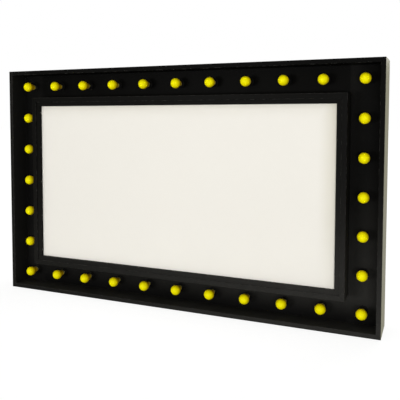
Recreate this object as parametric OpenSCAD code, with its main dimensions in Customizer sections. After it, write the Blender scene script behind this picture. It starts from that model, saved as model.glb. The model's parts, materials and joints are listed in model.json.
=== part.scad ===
// Marquee sign: a black board case with a ring of bayonet lamps in a channel round a white display panel.
// Millimetres. X runs to the right as seen from the front, Y from the front edge to the back,
// and Z up from the base.

/* [Case] */
// Overall width
case_w = 1800; // [1500:10:2200]
// Overall height
case_h = 1100; // [950:10:1300]
// Thickness of the four case boards
board_t = 19; // [15:0.5:24]
// Chamfer on the exposed edges of the boards
arris = 1.5; // [0.5:0.25:3]
// Depth of the recess behind the back cover
rear_recess = 30; // [26:1:40]
// Thickness of the back cover
cover_t = 6; // [4:0.5:9]
// Gap round the boards of the back cover and at the ends of the hanging rails
cover_gap = 1; // [0.5:0.25:2]

/* [Lamp channel] */
// Depth from the front edge to the lamp boards
channel_d = 105; // [95:1:115]
// Width of the channel at the left and right
channel_side = 121; // [100:1:150]
// Height of the channel at the top and bottom
channel_top = 115; // [108:1:150]
// Thickness of the lamp boards
lamp_board_t = 12; // [9:0.5:18]
// Lamps in the top row and in the bottom row, corners included
lamps_across = 11; // [7:1:11]
// Lamps between the corners on each side
lamps_between = 5; // [3:1:5]

/* [Display] */
// Thickness of the four surround boards
surround_t = 22; // [18:0.5:26]
// Width of the bead that frames the panel
bead_w = 20; // [14:0.5:26]
// Depth of the bead, front to panel
bead_d = 16; // [10:0.5:20]
// How far the bead sits behind the front edge
bead_drop = 5; // [3:0.5:9]
// Thickness of the display panel
panel_t = 6; // [3:0.5:10]
// Gap between the panel's edges and the surround
panel_gap = 1; // [0.5:0.25:2]
// Side of the square battens behind the panel and in front of the back cover
batten = 20; // [15:0.5:22]

/* [Lamp] */
// Diameter of the ball
ball_d = 45; // [40:0.5:50]
// Overall length of a lamp
lamp_l = 80; // [76:0.5:86]
// Thickness of the glass
glass_t = 1; // [0.6:0.1:1.5]
// Angle from the front of the ball to where the neck begins
neck_angle = 110; // [107:1:125]
// Diameter of the glass neck where it meets the cap
neck_d = 24.6; // [23.5:0.1:27]
// Length of the glass stub inside the cap
stub_l = 6.5; // [4:0.25:9]
// Diameter of the bayonet cap
cap_d = 22; // [21:0.1:23]
// Length of the bayonet cap with its contacts
cap_l = 20; // [18:0.25:24]
// Wall of the bayonet cap
cap_t = 0.5; // [0.3:0.1:0.8]
// Diameter of the cap's flared skirt, where it takes the neck
skirt_d = 26; // [25:0.1:28]
// Length of the flare
skirt_l = 4; // [3:0.25:6]
// Thickness of the insulating disc in the cap
base_t = 3.4; // [2:0.1:5]
// Diameter of a bayonet pin
bayonet_pin_d = 2; // [1.6:0.1:2.4]
// How far a bayonet pin stands out of the cap
bayonet_pin_l = 1.9; // [1.5:0.1:2.5]
// Height of the bayonet pins above the lamp's contacts
bayonet_pin_h = 7; // [6:0.25:7.5]
// Height of a contact on the lamp's base
contact_h = 0.8; // [0.5:0.1:1.2]
// Radius of the lamp's contacts and of the plungers that meet them
contact_r = 2; // [1.5:0.1:2.5]
// Distance of a contact from the lamp's axis
contact_offset = 4.5; // [4:0.1:5.5]

/* [Lampholder] */
// Height of a seated lamp's contacts above the front of the lamp board, or below it
seat_h = -1.5; // [-4:0.25:3]
// Wall of the barrel outside the bayonet slots
barrel_wall = 1.05; // [0.8:0.05:2]
// How far a cap goes into its holder
cap_insert = 11.5; // [10.5:0.25:13]
// Turn that frees a lamp from its holder, in degrees
release_turn = 20; // [14:1:28]
// Width of the flange on the lamp board, outside the barrel
flange_lip = 5.75; // [4:0.25:8]
// Thickness of the flange
flange_t = 4; // [3:0.25:6]
// Chamfer on the barrel's mouth and on the flange
holder_chamfer = 1; // [0.5:0.1:1.5]
// Thickness of the lock nut behind the lamp board
nut_t = 4; // [3:0.25:4.5]
// Length of the holder behind the lamp board
holder_tail = 11; // [10.5:0.25:14]
// Length of a plunger above the holder's floor
plunger_l = 4.2; // [3.5:0.1:5]

/* [Wiring] */
// Diameter of the cable behind the lampholders
cable_d = 6; // [5:0.25:6.5]
// Diameter of a single lead
lead_d = 2.4; // [2:0.1:3]
// Height of the switch and the inlet above the bottom cable
device_rise = 32; // [30:0.5:36]
// Space between the switch and the inlet
device_space = 7; // [4:0.5:12]
// Width of the terminal block
terminal_w = 36; // [30:0.5:45]
// Height of the terminal block
terminal_h = 18; // [14:0.5:19]
// Depth of the terminal block to the tops of its towers
terminal_d = 15; // [12:0.5:18]
// Depth of the terminal block between its towers
terminal_step = 10.5; // [9.5:0.25:11.5]
// Diameter of a terminal tower
tower_d = 9; // [7:0.25:10]
// Diameter of the screw hole in a terminal tower
tower_hole_d = 4.5; // [3.4:0.1:5.5]
// Length of the short leads between the bottom cable and the terminal block
terminal_lead = 15; // [12:0.5:16]

/* [Switch and inlet] */
// Depth of the switch and of the inlet in front of the back cover
device_depth = 17.5; // [16:0.5:24]
// Length of the switch and inlet tabs
tab_l = 6.5; // [5:0.5:9]
// Width of a tab
tab_w = 6.3; // [4.8:0.1:6.5]
// Thickness of a tab
tab_t = 0.8; // [0.5:0.1:1.2]
// Space between the tabs and the leads
tab_space = 0.5; // [0.3:0.1:3]
// Distance between the switch's two tabs
switch_tab_pitch = 14; // [10:0.5:18]
// Full swing of the rocker, in degrees
rocker_swing = 18; // [12:1:24]
// Width of the rocker
rocker_w = 18; // [14:0.5:22]
// Length of the rocker
rocker_l = 26; // [22:0.5:30]
// Depth of the rocker below its pivot
rocker_keel = 3; // [2.5:0.1:4]
// Height of the rocker's middle above the bezel
rocker_rise = 1; // [0.5:0.1:2]
// How far the pivot lies below the bezel's face
pivot_drop = 4; // [3.5:0.1:5]
// Radius of the rocker's pivot stubs
pivot_r = 1.5; // [1.2:0.1:1.8]
// Wall left behind a pivot socket
pivot_skin = 0.5; // [0.3:0.1:0.8]
// Wall round the rocker's well
switch_wall = 1.8; // [1.6:0.1:3]
// Width of the bezel outside the switch body
bezel_lip = 2; // [1.5:0.25:3]
// Thickness of the bezel
bezel_t = 2.5; // [2:0.25:4]
// Width of the inlet's socket
socket_w = 24.4; // [23:0.1:26]
// Height of the inlet's socket
socket_h = 16.8; // [15.5:0.1:18]
// Depth of the inlet's socket
socket_d = 18; // [16:0.5:19]
// Chamfer of the socket's two keyed corners
socket_key = 4; // [3:0.25:5]
// Wall round the inlet's socket
socket_wall = 1.8; // [1.4:0.1:2.5]
// Width of the inlet's flange
inlet_flange_w = 33; // [30:0.5:40]
// Height of the inlet's flange
inlet_flange_h = 24; // [22.5:0.25:28]
// Thickness of the inlet's flange
inlet_flange_t = 3; // [2:0.25:4]
// Distance between neighbouring contact blades
blade_pitch = 7; // [6.8:0.1:7.5]
// How far the middle blade is set off the line of the others
blade_offset = 2; // [1:0.25:3]
// Thickness of a contact blade
blade_t = 2; // [1.5:0.1:2.5]
// Width of a contact blade
blade_w = 4; // [3:0.1:4.5]
// How far the contact blades stay behind the socket's mouth
blade_setback = 6; // [5.5:0.25:7]

/* [Hanging rails] */
// Height of a hanging rail
rail_h = 70; // [50:1:100]
// Distance between the threaded inserts along the width
insert_pitch_x = 1200; // [800:10:1300]
// Distance between the threaded inserts along the height
insert_pitch_z = 600; // [400:10:640]
// Radius of the threaded hole
insert_hole_r = 3.4; // [2.5:0.1:4.2]
// Wall of an insert
insert_wall = 2.6; // [1.5:0.1:4]
// Length of an insert
insert_l = 20; // [15:0.5:24]
// Width of an insert's collar
collar_lip = 3; // [2:0.25:5]
// Thickness of an insert's collar
collar_t = 1.5; // [1:0.25:3]

/* [Cover screws] */
// Radius of a screw's shank
screw_r = 1.75; // [1.5:0.05:2.2]
// Radius of a screw's head
screw_head_r = 3.6; // [3:0.1:4.5]
// Length of a screw
screw_l = 20; // [15:0.5:20.5]
// Spaces between the cover screws along the width
screws_wide = 5; // [3:1:8]
// Distance of the outermost screws from the corners and of the side screws from the rails
screw_inset = 40; // [30:1:60]

/* [Clearances] */
// Slip gap between pieces that move or that are put in by hand
slip = 0.3; // [0.2:0.05:0.5]
// Thin gap left for cement, glue or a close fit
close = 0.1; // [0.05:0.05:0.2]
// Radial running gap of the rocker's pivot
running = 0.05; // [0.03:0.01:0.1]

/* [Hidden] */
$fn = 64;
SIDES = ["bottom", "left", "top", "right"];
paint = "#1d1d1c";
timber = "#b99a6b";
hardboard = "#7d5a3c";
black_plastic = "#151515";
lamp_yellow = "#f0e000";
metal = "#b9b7b0";
brass = "#b8923a";
panel_white = "#f0eee6";
cable_grey = "#3a3a3a";
bend_steps = 8;

// Depths, all measured from the front edge
board_back = channel_d + lamp_board_t;
lead_depth = board_back + close + lead_d / 2;
cover_front = board_back + close + lead_d + tab_space + tab_l + device_depth;
cover_back = cover_front + cover_t;
case_d = cover_back + rear_recess;
panel_front = bead_drop + bead_d;
panel_back = panel_front + panel_t;

// Sizes of the rings, from the outside in
inner_w = case_w - 2 * board_t;
inner_h = case_h - 2 * board_t;
surround_w = inner_w - 2 * channel_side;
surround_h = inner_h - 2 * channel_top;
window_w = surround_w - 2 * surround_t;
window_h = surround_h - 2 * surround_t;

// Lamp places: the middle of the channel
lamp_x = (inner_w - channel_side) / 2;
lamp_z = (inner_h - channel_top) / 2;
pitch_x = 2 * lamp_x / (lamps_across - 1);
pitch_z = 2 * lamp_z / (lamps_between + 1);

function two_digits(i) = str(i < 10 ? "0" : "", i);
function row(side, z) = [for (i = [1:lamps_across])
    [str("lamp_", side, "_", two_digits(i)), -lamp_x + (i - 1) * pitch_x, z]];
function column(side, x) = [for (i = [1:lamps_between])
    [str("lamp_", side, "_", two_digits(i)), x, lamp_z - i * pitch_z]];
ROWS = concat(row("top", lamp_z), row("bottom", -lamp_z));
COLUMNS = concat(column("left", -lamp_x), column("right", lamp_x));
LAMPS = concat(ROWS, COLUMNS);

// Heights along a lamp's axis, from the front face of the lamp board towards the front
ball_h = seat_h + lamp_l - ball_d / 2;
cap_rim = seat_h + cap_l;
cap_foot = seat_h + contact_h;
pin_h = seat_h + bayonet_pin_h;
holder_mouth = seat_h + cap_insert;
holder_floor = seat_h - slip - plunger_l;
holder_end = -lamp_board_t - holder_tail;
cable_h = holder_end + cable_d / 2;

// Radii about a lamp's axis
cap_r = cap_d / 2;
bore_r = cap_r + slip;
slot_r = cap_r + bayonet_pin_l + slip;
slot_w = bayonet_pin_d + 2 * slip;
barrel_r = slot_r + barrel_wall;
flange_r = barrel_r + flange_lip;
hole_r = barrel_r + slip;

// The rocker in its housing
rocker_end = rocker_l / 2;
rocker_top = pivot_drop + rocker_rise;
well_w = rocker_w + 2 * slip;
well_l = rocker_l + 2 * slip;
well_drop = rocker_keel + rocker_end * sin(rocker_swing / 2) + slip;
switch_w = well_w + 2 * switch_wall;
switch_l = well_l + 2 * switch_wall;
bezel_w = switch_w + 2 * bezel_lip;
bezel_l = switch_l + 2 * bezel_lip;
pivot_h = bezel_t - pivot_drop;
pivot_reach = switch_w / 2 - pivot_skin;
inlet_w = socket_w + 2 * socket_wall;
inlet_h = socket_h + 2 * socket_wall;
device_front = -cover_t - device_depth;

// The bay between the first two lamps of the bottom row holds the switch, the inlet and the terminal block
bay_x = -lamp_x + pitch_x / 2;
switch_x = bay_x - (inlet_flange_w + device_space) / 2;
inlet_x = bay_x + (bezel_w + device_space) / 2;
device_z = -lamp_z + device_rise;
terminal_top = -lamp_z - cable_d / 2 - terminal_lead;
terminal_pitch = terminal_w / 3;

insert_r = insert_hole_r + insert_wall;
collar_r = insert_r + collar_lip;
rail_len = inner_w - 2 * cover_gap;
screw_x = (inner_w - batten) / 2;
screw_z = (inner_h - batten) / 2;
screw_side = (insert_pitch_z + rail_h) / 2 + screw_inset;
function screw_along(i) = (2 * i / screws_wide - 1) * (screw_x - screw_inset);
SCREWS = concat(
    [for (i = [0:screws_wide], s = [-1, 1]) [screw_along(i), s * screw_z]],
    [for (z = [-screw_side, 0, screw_side], s = [-1, 1]) [s * screw_x, z]]);

// The back cover's boards meet behind the lower rail, and the service board ends past its second screw
cover_x = inner_w / 2 - cover_gap;
cover_z = inner_h / 2 - cover_gap;
cover_joint = -insert_pitch_z / 2;
service_edge = screw_along(1) + screw_inset;

// Puts children at a depth behind the front edge, with Z counted from the sign's middle
module at_depth(d)
    translate([0, d - case_d / 2, case_h / 2])
        children();

// Turns a lamp's own axis to the front, at a lamp's place on the lamp boards
module at_lamp(l)
    at_depth(channel_d)
        translate([l[1], 0, l[2]])
            rotate([90, 0, 0])
                children();

// Turns an axis to the back, at a place on the back cover's rear face
module on_cover(x, z)
    at_depth(cover_back)
        translate([x, 0, z])
            rotate([-90, 0, 0])
                children();

// A block from one height to another with its middle on the axis
module block(w, l, from, to)
    translate([-w / 2, -l / 2, from])
        cube([w, l, to - from]);

// One mitred board of a rectangular ring. The child is its section: depth, then width from the outer edge.
module ring_board(w, h, t, side) {
    turn = search([side], SIDES)[0];
    level = turn % 2 == 0;
    len = level ? w : h;
    out = level ? h / 2 : w / 2;
    rotate([0, turn * 90, 0])
        translate([0, 0, -out])
            intersection() {
                translate([-len / 2, 0, 0])
                    rotate([90, 0, 90])
                        linear_extrude(len)
                            children();
                translate([0, case_d, 0])
                    rotate([90, 0, 0])
                        linear_extrude(2 * case_d)
                            polygon([[-len / 2, 0], [len / 2, 0], [len / 2 - t, t], [t - len / 2, t]]);
            }
}

// Section of a board on edge, with chamfered front corners
module edge_section(back, t)
    polygon([[0, arris], [arris, 0], [back, 0], [back, t], [arris, t], [0, t - arris]]);

// Four case boards, mitred at the corners
module case_board(side)
    color(paint)
        at_depth(0)
            ring_board(case_w, case_h, board_t, side)
                edge_section(case_d, board_t);

// Four surround boards: the inner wall of the channel, from the front edge to the back cover
module surround_board(side)
    color(paint)
        at_depth(0)
            ring_board(surround_w, surround_h, surround_t, side)
                edge_section(cover_front, surround_t);

// Four beads that the display panel rests against, with a chamfer towards the panel
module bead(side)
    color(paint)
        at_depth(0)
            ring_board(window_w, window_h, bead_w, side)
                polygon([[bead_drop, 0], [panel_front, 0], [panel_front, bead_w],
                    [bead_drop + arris, bead_w], [bead_drop, bead_w - arris]]);

// A flat board drilled for the lamps whose places are given, size w by h with its middle at x, z
module drilled_board(x, z, w, h, lamps)
    color(paint)
        at_depth(channel_d)
            difference() {
                translate([x - w / 2, 0, z - h / 2])
                    cube([w, lamp_board_t, h]);
                for (l = lamps)
                    translate([l[1], -lamp_board_t, l[2]])
                        rotate([-90, 0, 0])
                            cylinder(r = hole_r, h = 3 * lamp_board_t);
            }

// Lamp boards: the top and bottom ones run from side to side, the other two stand between them
module lamp_board(side) {
    if (side == "top")
        drilled_board(0, lamp_z, inner_w, channel_top, row(side, lamp_z));
    if (side == "bottom")
        drilled_board(0, -lamp_z, inner_w, channel_top, row(side, -lamp_z));
    if (side == "left")
        drilled_board(-lamp_x, 0, channel_side, surround_h, column(side, -lamp_x));
    if (side == "right")
        drilled_board(lamp_x, 0, channel_side, surround_h, column(side, lamp_x));
}

// White panel behind the beads
module display_panel()
    color(panel_white)
        at_depth(panel_front)
            translate([panel_gap - window_w / 2, 0, panel_gap - window_h / 2])
                cube([window_w - 2 * panel_gap, panel_t, window_h - 2 * panel_gap]);

// Four square strips inside a frame of the given size, the upright ones between the others
module batten_ring(w, h)
    for (s = [-1, 1]) {
        translate([-w / 2, 0, s * (h - batten) / 2 - batten / 2])
            cube([w, batten, batten]);
        translate([s * (w - batten) / 2 - batten / 2, 0, batten + close - h / 2])
            cube([batten, batten, h - 2 * (batten + close)]);
    }

// Strips that hold the panel against the beads, and strips that the back cover is screwed to
module battens()
    color(timber) {
        at_depth(panel_back)
            batten_ring(window_w, window_h);
        difference() {
            at_depth(cover_front - batten)
                batten_ring(inner_w, inner_h);
            for (p = SCREWS)
                on_cover(p[0], p[1])
                    translate([0, 0, -screw_l - close])
                        cylinder(r = screw_r + close, h = screw_l);
        }
    }

// A flat board of the back cover between two corners
module cover_board(from, to)
    at_depth(cover_front)
        translate([from[0], 0, from[1]])
            cube([to[0] - from[0], cover_t, to[1] - from[1]]);

// Back cover: a large board, a lower one and a service board with the openings for the switch and the inlet
module back_cover()
    color(hardboard)
        difference() {
            union() {
                cover_board([-cover_x, cover_joint + cover_gap / 2], [cover_x, cover_z]);
                cover_board([service_edge + cover_gap, -cover_z], [cover_x, cover_joint - cover_gap / 2]);
                cover_board([-cover_x, -cover_z], [service_edge, cover_joint - cover_gap / 2]);
            }
            for (p = SCREWS)
                on_cover(p[0], p[1])
                    screw_shape(close);
            on_cover(switch_x, device_z)
                block(switch_w + 2 * slip, switch_l + 2 * slip, -2 * cover_t, cover_t);
            on_cover(inlet_x, device_z)
                block(inlet_w + 2 * slip, inlet_h + 2 * slip, -2 * cover_t, cover_t);
        }

// A countersunk screw, or with a gap the hole that takes it
module screw_shape(gap)
    rotate_extrude()
        polygon([[0, -screw_l - gap], [screw_r + gap, -screw_l - gap],
            [screw_r + gap, screw_r - screw_head_r - gap], [screw_head_r + gap, 0],
            [screw_head_r + gap, gap], [0, gap]]);

// Screws that hold the back cover to the battens
module cover_screws()
    color(metal)
        for (p = SCREWS)
            on_cover(p[0], p[1])
                screw_shape(0);

// Places of the threaded inserts
module at_inserts()
    for (x = [-1, 1], z = [-1, 1])
        at_depth(case_d)
            translate([x * insert_pitch_x / 2, 0, z * insert_pitch_z / 2])
                rotate([-90, 0, 0])
                    children();

// Two rails across the back, flush with the rear edges, for hanging or for a stand
module hanging_rails()
    color(paint)
        difference() {
            for (s = [-1, 1])
                at_depth(cover_back)
                    translate([-rail_len / 2, 0, s * insert_pitch_z / 2 - rail_h / 2])
                        cube([rail_len, rear_recess, rail_h]);
            at_inserts() {
                translate([0, 0, -insert_l - close])
                    cylinder(r = insert_r + close, h = insert_l + 1);
                translate([0, 0, -collar_t])
                    cylinder(r = collar_r + close, h = collar_t + 1);
            }
        }

// Brass threaded inserts, flush with the back of the rails
module threaded_inserts()
    color(brass)
        at_inserts()
            rotate_extrude()
                polygon([[insert_hole_r, -insert_l], [insert_r, -insert_l], [insert_r, -collar_t],
                    [collar_r, -collar_t], [collar_r, 0], [insert_hole_r, 0]]);

// Body of a lampholder: flanged barrel with two blind bayonet slots and a groove for the cable at its end
module holder_body(along)
    difference() {
        rotate_extrude()
            polygon([[0, holder_floor], [bore_r, holder_floor], [bore_r, holder_mouth],
                [barrel_r - holder_chamfer, holder_mouth], [barrel_r, holder_mouth - holder_chamfer],
                [barrel_r, flange_t], [flange_r - holder_chamfer, flange_t],
                [flange_r, flange_t - holder_chamfer], [flange_r, 0],
                [barrel_r, 0], [barrel_r, holder_end], [0, holder_end]]);
        for (a = [0, 180])
            rotate([0, 0, a])
                bayonet_slot();
        rotate([0, 0, along])
            translate([0, 0, cable_h])
                rotate([0, 90, 0])
                    linear_extrude(4 * barrel_r, center = true) {
                        circle(r = cable_d / 2 + slip);
                        translate([0, -cable_d / 2 - slip])
                            square([cable_d, cable_d + 2 * slip]);
                    }
    }

// An L-shaped slot: the pin goes in along the axis and turns back to its seat
module bayonet_slot() {
    turn = [cos(release_turn), sin(release_turn)];
    translate([0, 0, pin_h - slot_w / 2])
        linear_extrude(slot_w)
            intersection() {
                circle(r = slot_r);
                union() {
                    slot_arm(0);
                    slot_arm(release_turn);
                    polygon([[0, 0], [2 * slot_r, 0], 2 * slot_r * turn]);
                }
            }
    translate([0, 0, pin_h])
        linear_extrude(holder_mouth - pin_h + 1)
            intersection() {
                circle(r = slot_r);
                slot_arm(release_turn);
            }
}

// A straight way from the axis outwards, as wide as the slot
module slot_arm(a)
    rotate(a)
        translate([0, -slot_w / 2])
            square([2 * slot_r, slot_w]);

// Hexagonal lock nut behind the lamp board
module holder_nut()
    translate([0, 0, -lamp_board_t - nut_t])
        difference() {
            cylinder(r = flange_r, h = nut_t, $fn = 6);
            translate([0, 0, -1])
                cylinder(r = barrel_r + close, h = nut_t + 2);
        }

// Two contact plungers on the floor of a holder
module holder_plungers()
    for (s = [-1, 1])
        translate([0, s * contact_offset, holder_floor + close])
            cylinder(r = contact_r, h = plunger_l - close);

// A lampholder with its nut and plungers. The groove lies along the row or the column.
module lampholder(along) {
    holder_body(along);
    holder_nut();
    holder_plungers();
}

// All the lampholders
module lampholders()
    color(black_plastic) {
        for (l = ROWS)
            at_lamp(l)
                lampholder(0);
        for (l = COLUMNS)
            at_lamp(l)
                lampholder(90);
    }

// Point on a quadratic curve from a to c, drawn towards b
function bend(a, b, c, t) = (1 - t) * (1 - t) * a + 2 * t * (1 - t) * b + t * t * c;

// Half section of a bulb about its ball's centre: the ball, then a hollow curve into the neck
module bulb_section(r, neck_r, neck_l) {
    start = r * [sin(neck_angle), cos(neck_angle)];
    pull = start + (start[0] - neck_r) * [-1, tan(neck_angle)];
    curve = [for (i = [0:bend_steps]) bend(start, pull, [neck_r, -neck_l], i / bend_steps)];
    intersection() {
        union() {
            circle(r = r);
            polygon(concat([[0, start[1]]], curve, [[0, -neck_l]]));
        }
        translate([0, -neck_l])
            square([r, neck_l + r]);
    }
}

// Glass bulb: a thin wall with a stub that is cemented into the cap
module bulb() {
    neck_l = ball_h - cap_rim - close;
    stub_r = cap_r - cap_t - close;
    translate([0, 0, ball_h])
        rotate_extrude()
            difference() {
                union() {
                    bulb_section(ball_d / 2, neck_d / 2, neck_l);
                    translate([0, -neck_l - stub_l])
                        square([stub_r, stub_l + glass_t]);
                }
                bulb_section(ball_d / 2 - glass_t, neck_d / 2 - glass_t, neck_l - glass_t);
                translate([0, -neck_l - stub_l - 1])
                    square([stub_r - glass_t, stub_l + 1 + 2 * glass_t]);
            }
}

// Bayonet cap: a thin sleeve with two pins, flared where it takes the neck
module bayonet_cap() {
    flare = cap_rim - skirt_l;
    skirt_r = skirt_d / 2;
    difference() {
        union() {
            rotate_extrude()
                polygon([[0, cap_foot], [cap_r, cap_foot], [cap_r, flare], [skirt_r, cap_rim], [0, cap_rim]]);
            translate([0, 0, pin_h])
                rotate([0, 90, 0])
                    cylinder(d = bayonet_pin_d, h = 2 * (cap_r + bayonet_pin_l), center = true);
        }
        rotate_extrude()
            polygon([[0, cap_foot - 1], [cap_r - cap_t, cap_foot - 1], [cap_r - cap_t, flare],
                [skirt_r - cap_t, cap_rim], [skirt_r - cap_t, cap_rim + 1], [0, cap_rim + 1]]);
    }
}

// Base of a lamp: an insulating disc with two contacts
module lamp_base() {
    translate([0, 0, cap_foot])
        cylinder(r = cap_r - cap_t - close, h = base_t);
    for (s = [-1, 1])
        translate([0, s * contact_offset, seat_h])
            cylinder(r = contact_r, h = contact_h + base_t / 2);
}

// One yellow ball lamp
module lamp(l)
    color(lamp_yellow)
        at_lamp(l) {
            bulb();
            bayonet_cap();
            lamp_base();
        }

// A straight round lead between two points
module lead(a, b, d) {
    v = b - a;
    translate(a)
        rotate([0, acos(v[2] / norm(v)), atan2(v[1], v[0])])
            cylinder(d = d, h = norm(v));
}

// Cables through the lampholders, with the leads between the inlet, the switch and the terminal block
module wiring()
    color(cable_grey)
        at_depth(0) {
            cable_depth = channel_d - cable_h;
            row_end = lamp_x + barrel_r + cable_d;
            column_end = lamp_z - barrel_r - slip;
            near_tab = [switch_x, lead_depth, device_z - switch_tab_pitch / 2];
            far_tab = [switch_x, lead_depth, device_z + switch_tab_pitch / 2];
            for (s = [-1, 1]) {
                x = bay_x + s * terminal_pitch;
                lead([-row_end, cable_depth, s * lamp_z], [row_end, cable_depth, s * lamp_z], cable_d);
                lead([s * lamp_x, cable_depth, -column_end], [s * lamp_x, cable_depth, column_end], cable_d);
                lead([x, cable_depth, terminal_top], [x, cable_depth, -lamp_z], lead_d);
            }
            lead([inlet_x - blade_pitch, lead_depth, device_z], far_tab, lead_d);
            cut_lead(near_tab, bay_x - terminal_pitch);
            cut_lead([inlet_x + blade_pitch, lead_depth, device_z], bay_x + terminal_pitch);
        }

// A slanting lead from a tab, cut level just above the terminal block
module cut_lead(from, x)
    difference() {
        lead(from, [x, lead_depth, terminal_top - lead_d], lead_d);
        translate([x, lead_depth, 0])
            block(5 * lead_d, 5 * lead_d, terminal_top - 4 * lead_d, terminal_top + close);
    }

// Terminal block on the back of the bottom lamp board, with three screw towers
module terminal_block()
    color(black_plastic)
        at_depth(board_back)
            translate([bay_x, 0, terminal_top - terminal_h / 2])
                rotate([-90, 0, 0])
                    difference() {
                        union() {
                            block(terminal_w, terminal_h, 0, terminal_step);
                            for (i = [-1:1])
                                translate([i * terminal_pitch, 0, 0])
                                    cylinder(d = tower_d, h = terminal_d);
                        }
                        for (i = [-1:1])
                            translate([i * terminal_pitch, 0, terminal_step / 2])
                                cylinder(d = tower_hole_d, h = terminal_d);
                    }

// Mains inlet: a flanged housing with a keyed socket and three contact blades through its floor
module mains_inlet()
    color(black_plastic)
        on_cover(inlet_x, device_z) {
            w = socket_w / 2;
            h = socket_h / 2;
            difference() {
                union() {
                    block(inlet_flange_w, inlet_flange_h, 0, inlet_flange_t);
                    block(inlet_w, inlet_h, device_front, inlet_flange_t);
                }
                translate([0, 0, inlet_flange_t - socket_d])
                    linear_extrude(socket_d + 1)
                        polygon([[-w, h], [w, h], [w, socket_key - h], [w - socket_key, -h],
                            [socket_key - w, -h], [-w, socket_key - h]]);
                inlet_contacts(close);
            }
            inlet_contacts(0);
        }

// The three contacts of the inlet: a blade in the socket and a tab in front, wider by a gap all round
module inlet_contacts(gap)
    for (i = [-1:1])
        translate([i * blade_pitch, i == 0 ? -blade_offset : 0, 0]) {
            block(blade_t + 2 * gap, blade_w + 2 * gap,
                device_front - tab_l / 2, inlet_flange_t - blade_setback);
            block(tab_w, tab_t, device_front - tab_l, device_front - close);
        }

// Switch housing: bezel, well for the rocker with its pivot sockets, and two tabs
module switch_body()
    color(black_plastic)
        on_cover(switch_x, device_z) {
            difference() {
                union() {
                    block(bezel_w, bezel_l, 0, bezel_t);
                    block(switch_w, switch_l, device_front, bezel_t);
                }
                block(well_w, well_l, pivot_h - well_drop, bezel_t + 1);
                translate([0, 0, pivot_h])
                    rotate([0, 90, 0])
                        cylinder(r = pivot_r + running, h = 2 * pivot_reach, center = true);
            }
            for (s = [-1, 1])
                translate([0, s * switch_tab_pitch / 2, 0])
                    block(tab_w, tab_t, device_front - tab_l, device_front - close);
        }

// Rocker: a shallow valley on top, round ends, two pivot stubs. It rests tipped to one side.
module rocker()
    color(black_plastic)
        on_cover(switch_x, device_z)
            translate([0, 0, pivot_h])
                rotate([-rocker_swing / 2, 0, 0])
                    rotate([90, 0, 90]) {
                        tip = rocker_top + rocker_end * tan(rocker_swing / 2);
                        intersection() {
                            linear_extrude(rocker_w, center = true)
                                polygon([[-rocker_end, -rocker_keel], [rocker_end, -rocker_keel],
                                    [rocker_end, tip], [0, rocker_top], [-rocker_end, tip]]);
                            cylinder(r = rocker_end, h = 2 * rocker_w, center = true);
                        }
                        cylinder(r = pivot_r, h = 2 * (pivot_reach - slip), center = true);
                    }

case_board("bottom");  // case_bottom
case_board("left");  // case_left
case_board("top");  // case_top
case_board("right");  // case_right
lamp_board("bottom");  // lamp_board_bottom
lamp_board("left");  // lamp_board_left
lamp_board("top");  // lamp_board_top
lamp_board("right");  // lamp_board_right
surround_board("bottom");  // surround_bottom
surround_board("left");  // surround_left
surround_board("top");  // surround_top
surround_board("right");  // surround_right
bead("bottom");  // bead_bottom
bead("left");  // bead_left
bead("top");  // bead_top
bead("right");  // bead_right
display_panel();
battens();
back_cover();
cover_screws();
hanging_rails();
threaded_inserts();
lampholders();
wiring();
terminal_block();
mains_inlet();
switch_body();
rocker();
for (l = LAMPS)
    lamp(l);
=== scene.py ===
import json
import math

import bmesh
import bpy
from bpy.props import FloatProperty, FloatVectorProperty, IntProperty, PointerProperty
from mathutils import Euler, Matrix, Vector


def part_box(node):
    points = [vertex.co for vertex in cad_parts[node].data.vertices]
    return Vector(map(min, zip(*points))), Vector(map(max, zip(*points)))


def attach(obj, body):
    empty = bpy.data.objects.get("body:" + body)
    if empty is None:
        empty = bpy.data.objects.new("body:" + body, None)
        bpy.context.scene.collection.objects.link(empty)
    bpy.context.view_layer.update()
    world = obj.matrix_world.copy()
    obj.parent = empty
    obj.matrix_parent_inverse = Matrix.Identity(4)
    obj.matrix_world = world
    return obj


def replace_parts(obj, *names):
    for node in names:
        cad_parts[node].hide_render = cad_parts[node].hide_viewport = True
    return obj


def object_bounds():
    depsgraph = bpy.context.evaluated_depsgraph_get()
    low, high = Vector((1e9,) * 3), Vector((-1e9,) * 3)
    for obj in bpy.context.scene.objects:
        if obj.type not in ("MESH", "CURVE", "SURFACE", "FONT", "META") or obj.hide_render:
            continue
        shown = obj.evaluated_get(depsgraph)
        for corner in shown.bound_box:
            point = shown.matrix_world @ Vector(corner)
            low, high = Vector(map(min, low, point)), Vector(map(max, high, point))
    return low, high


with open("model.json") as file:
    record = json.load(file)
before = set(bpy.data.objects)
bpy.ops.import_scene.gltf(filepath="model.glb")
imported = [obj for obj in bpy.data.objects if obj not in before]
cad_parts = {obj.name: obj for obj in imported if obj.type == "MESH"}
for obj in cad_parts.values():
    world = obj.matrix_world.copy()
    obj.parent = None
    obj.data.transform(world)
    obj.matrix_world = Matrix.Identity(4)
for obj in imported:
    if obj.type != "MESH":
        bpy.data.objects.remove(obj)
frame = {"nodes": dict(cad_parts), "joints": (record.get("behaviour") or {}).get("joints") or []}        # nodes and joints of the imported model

bl_info = {
    "name": "Marquee sign",
    "version": (1, 0, 0),
    "blender": (4, 5, 0),
    "location": "3D View > Sidebar > Marquee",
    "description": "Dresses a marquee sign: painted boards, panel, ball lamps, fixings and a plain stage",
    "category": "Add Mesh",
}

MM = 0.001
FULL_TURN = 2 * math.pi
QUARTER_TURN = math.pi / 2
CAD_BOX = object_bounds()
SIGN = "sign"
SIDES = ("top", "bottom", "left", "right")

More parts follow.
